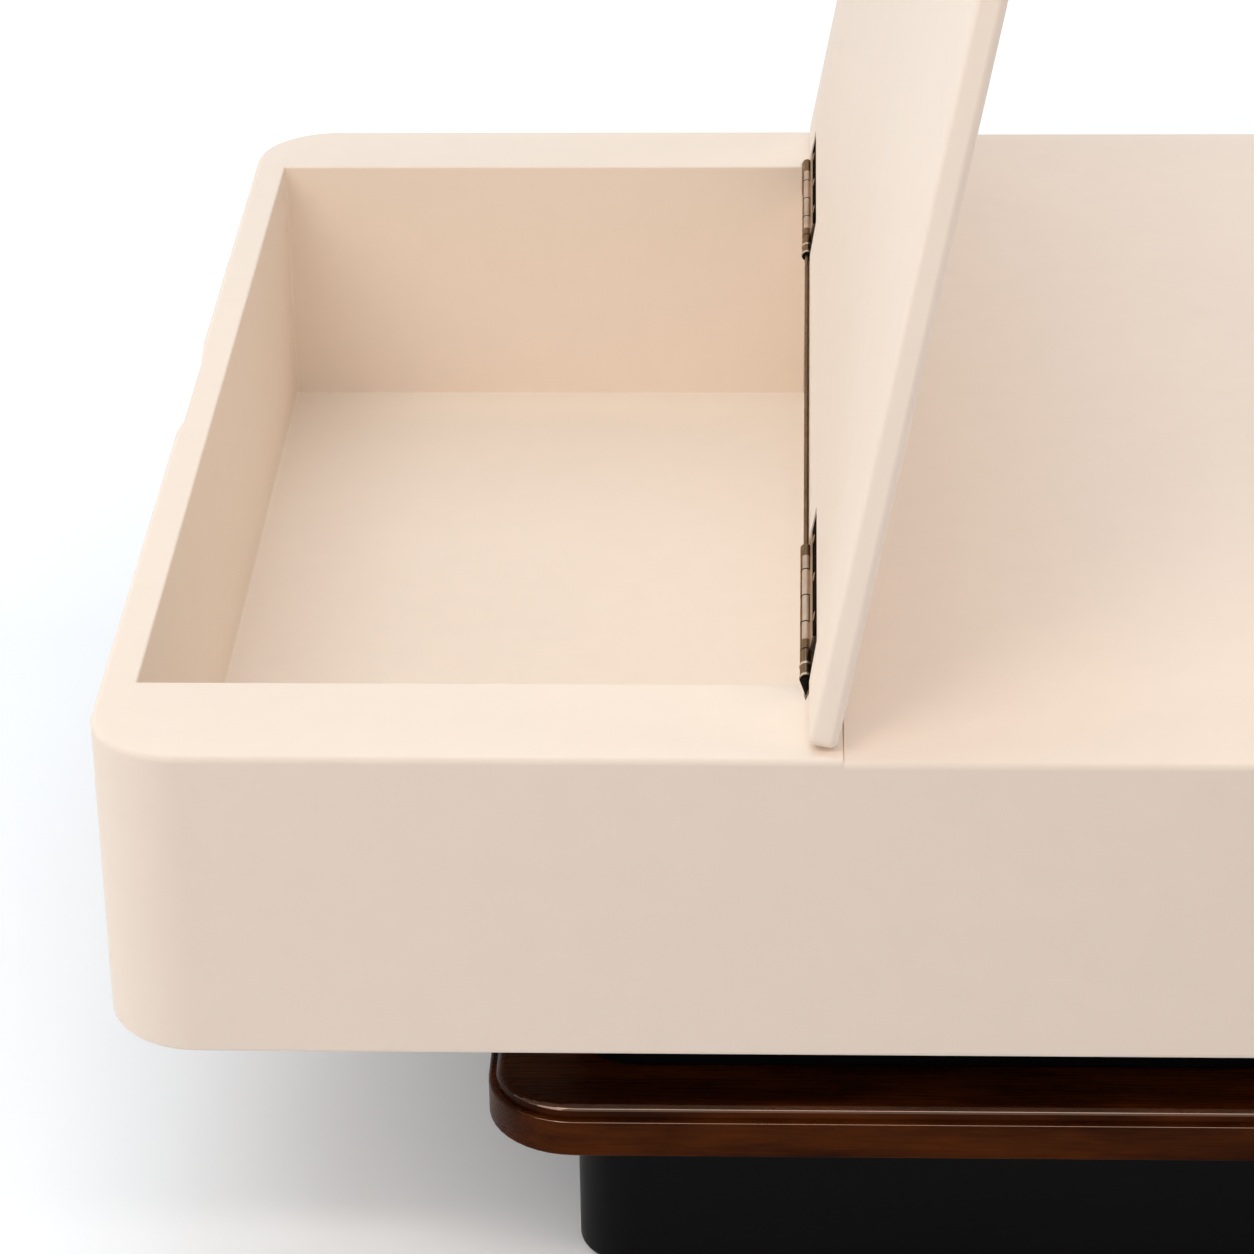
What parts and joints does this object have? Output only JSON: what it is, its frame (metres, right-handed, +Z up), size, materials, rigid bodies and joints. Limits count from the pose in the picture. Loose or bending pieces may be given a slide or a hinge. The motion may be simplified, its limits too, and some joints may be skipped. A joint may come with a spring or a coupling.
{
  "type": "center table",
  "caption": "Low lacquered center table with rounded corners, a hinged lid over an end storage compartment, and a walnut shelf board on a black plinth.",
  "frame": {"origin": "on the floor, under the middle of the box body", "axes": "+X to the right along the length, -Y to the front, +Z up; the storage end is at -X"},
  "size_m": [1.2, 0.76, 0.6671],
  "materials": {
    "cream_lacquer": "cream satin lacquer on board",
    "walnut": "dark polished walnut",
    "black_lacquer": "black satin lacquer on board",
    "raw_board": "unpainted board, hidden inside",
    "aged_nickel": "aged nickel plate",
    "zinc_steel": "zinc plate",
    "silicone": "clear silicone dot",
    "floor_pad": "black plastic pad"
  },
  "bodies": {
    "table": {"back_panel": "cream_lacquer", "back_rim": "cream_lacquer", "base_bolts": "zinc_steel", "bolt_washers": "zinc_steel", "bottom_panel": "cream_lacquer", "compartment_back_wall": "cream_lacquer", "compartment_front_wall": "cream_lacquer", "corner_post_back_left": "cream_lacquer", "corner_post_back_right": "cream_lacquer", "corner_post_front_left": "cream_lacquer", "corner_post_front_right": "cream_lacquer", "cross_rib_1": "raw_board", "cross_rib_2": "raw_board", "cross_rib_3": "raw_board", "fixed_top": "cream_lacquer", "floor_doubler_left": "raw_board", "floor_doubler_right": "raw_board", "floor_pads": "floor_pad", "front_hinge_fixed_leaf": "aged_nickel", "front_panel": "cream_lacquer", "front_rim": "cream_lacquer", "hinge_rod": "aged_nickel", "left_end_panel": "cream_lacquer", "neck_back": "black_lacquer", "neck_corner_back_left": "black_lacquer", "neck_corner_back_right": "black_lacquer", "neck_corner_front_left": "black_lacquer", "neck_corner_front_right": "black_lacquer", "neck_front": "black_lacquer", "neck_left": "black_lacquer", "neck_rail_left": "raw_board", "neck_rail_right": "raw_board", "neck_right": "black_lacquer", "partition": "cream_lacquer", "partition_hinge_screws": "aged_nickel", "plinth_back": "black_lacquer", "plinth_corner_back_left": "black_lacquer", "plinth_corner_back_right": "black_lacquer", "plinth_corner_front_left": "black_lacquer", "plinth_corner_front_right": "black_lacquer", "plinth_front": "black_lacquer", "plinth_left": "black_lacquer", "plinth_rail_left": "raw_board", "plinth_rail_right": "raw_board", "plinth_right": "black_lacquer", "rear_hinge_fixed_leaf": "aged_nickel", "right_end_panel": "cream_lacquer", "shelf_board": "walnut", "tee_nuts": "zinc_steel"},
    "lid": {"lid_panel": "cream_lacquer", "lid_bumpers": "silicone", "front_hinge_lid_leaf": "aged_nickel", "rear_hinge_lid_leaf": "aged_nickel", "lid_hinge_screws": "aged_nickel"}
  },
  "joints": [
    {"name": "lid_hinge", "type": "hinge", "parent": "table", "child": "lid", "pos_m": [-0.2822, 0, 0.315], "axis": [0, 1, 0], "range_deg": [-101, 0]}
  ]
}
